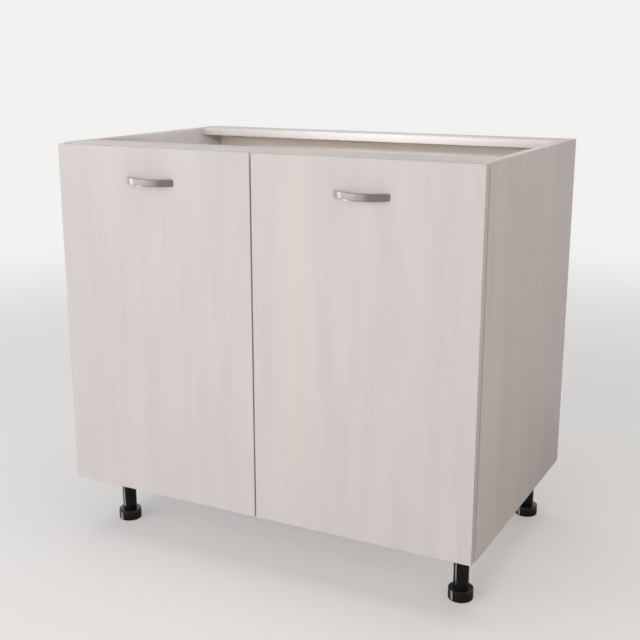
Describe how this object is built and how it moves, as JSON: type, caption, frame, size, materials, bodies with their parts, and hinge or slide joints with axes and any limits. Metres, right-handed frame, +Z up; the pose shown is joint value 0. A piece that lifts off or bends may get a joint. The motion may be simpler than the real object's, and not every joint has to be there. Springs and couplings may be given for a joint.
{
  "type": "sink base cabinet",
  "caption": "Free-standing sink base cabinet with an open top, two overlay doors on concealed hinges, bow handles and round adjustable legs",
  "frame": {"origin": "on the floor, in the middle of the bounding box in plan: half way between the sides, and half way between the handles' fronts and the back board", "axes": "+X to the right for a person in front, -Y towards that person, +Z up; the doors' fronts face -Y"},
  "size_m": [0.9, 0.607, 0.845],
  "materials": {
    "carcass_board": "pale melamine faced chipboard, faint grain",
    "door_board": "pale laminate, faint upright grain, satin",
    "hardboard": "thin hardboard, pale inside, brown outside",
    "beech": "plain beech dowels",
    "black_plastic": "black moulded plastic",
    "handle_chrome": "satin chrome",
    "nickel": "nickel plated pressed steel",
    "zinc_fittings": "zinc alloy fittings",
    "zinc_screws": "zinc plated screws and nails",
    "clear_rubber": "soft clear bumper pads"
  },
  "bodies": {
    "carcass": {"side_panel_left": "carcass_board", "side_panel_right": "carcass_board", "bottom_panel": "carcass_board", "front_rail": "carcass_board", "rear_rail": "carcass_board", "back_panel": "hardboard", "back_panel_nails": "zinc_screws", "dowels": "beech", "cams": "zinc_fittings", "cam_bolts": "zinc_fittings", "leg_socket_screws": "zinc_screws", "hinge_screws": "zinc_screws", "leg_socket_front_left": "black_plastic", "leg_socket_front_right": "black_plastic", "leg_socket_rear_left": "black_plastic", "leg_socket_rear_right": "black_plastic", "leg_column_front_left": "black_plastic", "leg_column_front_right": "black_plastic", "leg_column_rear_left": "black_plastic", "leg_column_rear_right": "black_plastic", "hinge_plate_bottom_left": "nickel", "hinge_plate_bottom_right": "nickel", "hinge_plate_top_left": "nickel", "hinge_plate_top_right": "nickel", "hinge_arm_bottom_left": "nickel", "hinge_arm_bottom_right": "nickel", "hinge_arm_top_left": "nickel", "hinge_arm_top_right": "nickel"},
    "outer_links_left": {"outer_link_bottom_left": "nickel", "outer_link_top_left": "nickel"},
    "inner_links_left": {"inner_link_bottom_left": "nickel", "inner_link_top_left": "nickel"},
    "door_left": {"door_left": "door_board", "handle_left": "handle_chrome", "handle_screws_left": "zinc_screws", "cup_screws_left": "zinc_screws", "door_bumpers_left": "clear_rubber", "hinge_cup_bottom_left": "nickel", "hinge_cup_top_left": "nickel"},
    "outer_links_right": {"outer_link_bottom_right": "nickel", "outer_link_top_right": "nickel"},
    "inner_links_right": {"inner_link_bottom_right": "nickel", "inner_link_top_right": "nickel"},
    "door_right": {"door_right": "door_board", "handle_right": "handle_chrome", "handle_screws_right": "zinc_screws", "cup_screws_right": "zinc_screws", "door_bumpers_right": "clear_rubber", "hinge_cup_bottom_right": "nickel", "hinge_cup_top_right": "nickel"},
    "foot_front_left": {"leg_foot_front_left": "black_plastic"},
    "foot_front_right": {"leg_foot_front_right": "black_plastic"},
    "foot_rear_left": {"leg_foot_rear_left": "black_plastic"},
    "foot_rear_right": {"leg_foot_rear_right": "black_plastic"}
  },
  "joints": [
    {"name": "outer_links_right_swing", "type": "hinge", "parent": "carcass", "child": "outer_links_right", "pos_m": [0.4228, -0.2495, 0.485], "axis": [0, 0, -1], "range_deg": [0, 33]},
    {"name": "door_right_swing", "type": "hinge", "parent": "outer_links_right", "child": "door_right", "pos_m": [0.4391, -0.2647, 0.485], "axis": [0, 0, 1], "range_deg": [0, 127.78]},
    {"name": "inner_links_right_swing", "type": "hinge", "parent": "carcass", "child": "inner_links_right", "pos_m": [0.4151, -0.26525, 0.485], "axis": [0, 0, -1], "range_deg": [0, 36.5]},
    {"name": "outer_links_left_swing", "type": "hinge", "parent": "carcass", "child": "outer_links_left", "pos_m": [-0.4228, -0.2495, 0.485], "axis": [0, 0, 1], "range_deg": [0, 33]},
    {"name": "door_left_swing", "type": "hinge", "parent": "outer_links_left", "child": "door_left", "pos_m": [-0.4391, -0.2647, 0.485], "axis": [0, 0, -1], "range_deg": [0, 127.78]},
    {"name": "inner_links_left_swing", "type": "hinge", "parent": "carcass", "child": "inner_links_left", "pos_m": [-0.4151, -0.26525, 0.485], "axis": [0, 0, 1], "range_deg": [0, 36.5]},
    {"name": "foot_front_left_screw", "type": "slide", "parent": "carcass", "child": "foot_front_left", "axis": [0, 0, -1], "range_m": [0, 0.025]},
    {"name": "foot_front_right_screw", "type": "slide", "parent": "carcass", "child": "foot_front_right", "axis": [0, 0, -1], "range_m": [0, 0.025]},
    {"name": "foot_rear_left_screw", "type": "slide", "parent": "carcass", "child": "foot_rear_left", "axis": [0, 0, -1], "range_m": [0, 0.025]},
    {"name": "foot_rear_right_screw", "type": "slide", "parent": "carcass", "child": "foot_rear_right", "axis": [0, 0, -1], "range_m": [0, 0.025]}
  ],
  "couplings": [
    {"joint": "outer_links_right_swing", "follows": "door_right_swing", "ratio": 0.25651},
    {"joint": "inner_links_right_swing", "follows": "door_right_swing", "ratio": 0.28253},
    {"joint": "outer_links_left_swing", "follows": "door_left_swing", "ratio": 0.25651},
    {"joint": "inner_links_left_swing", "follows": "door_left_swing", "ratio": 0.28253}
  ]
}
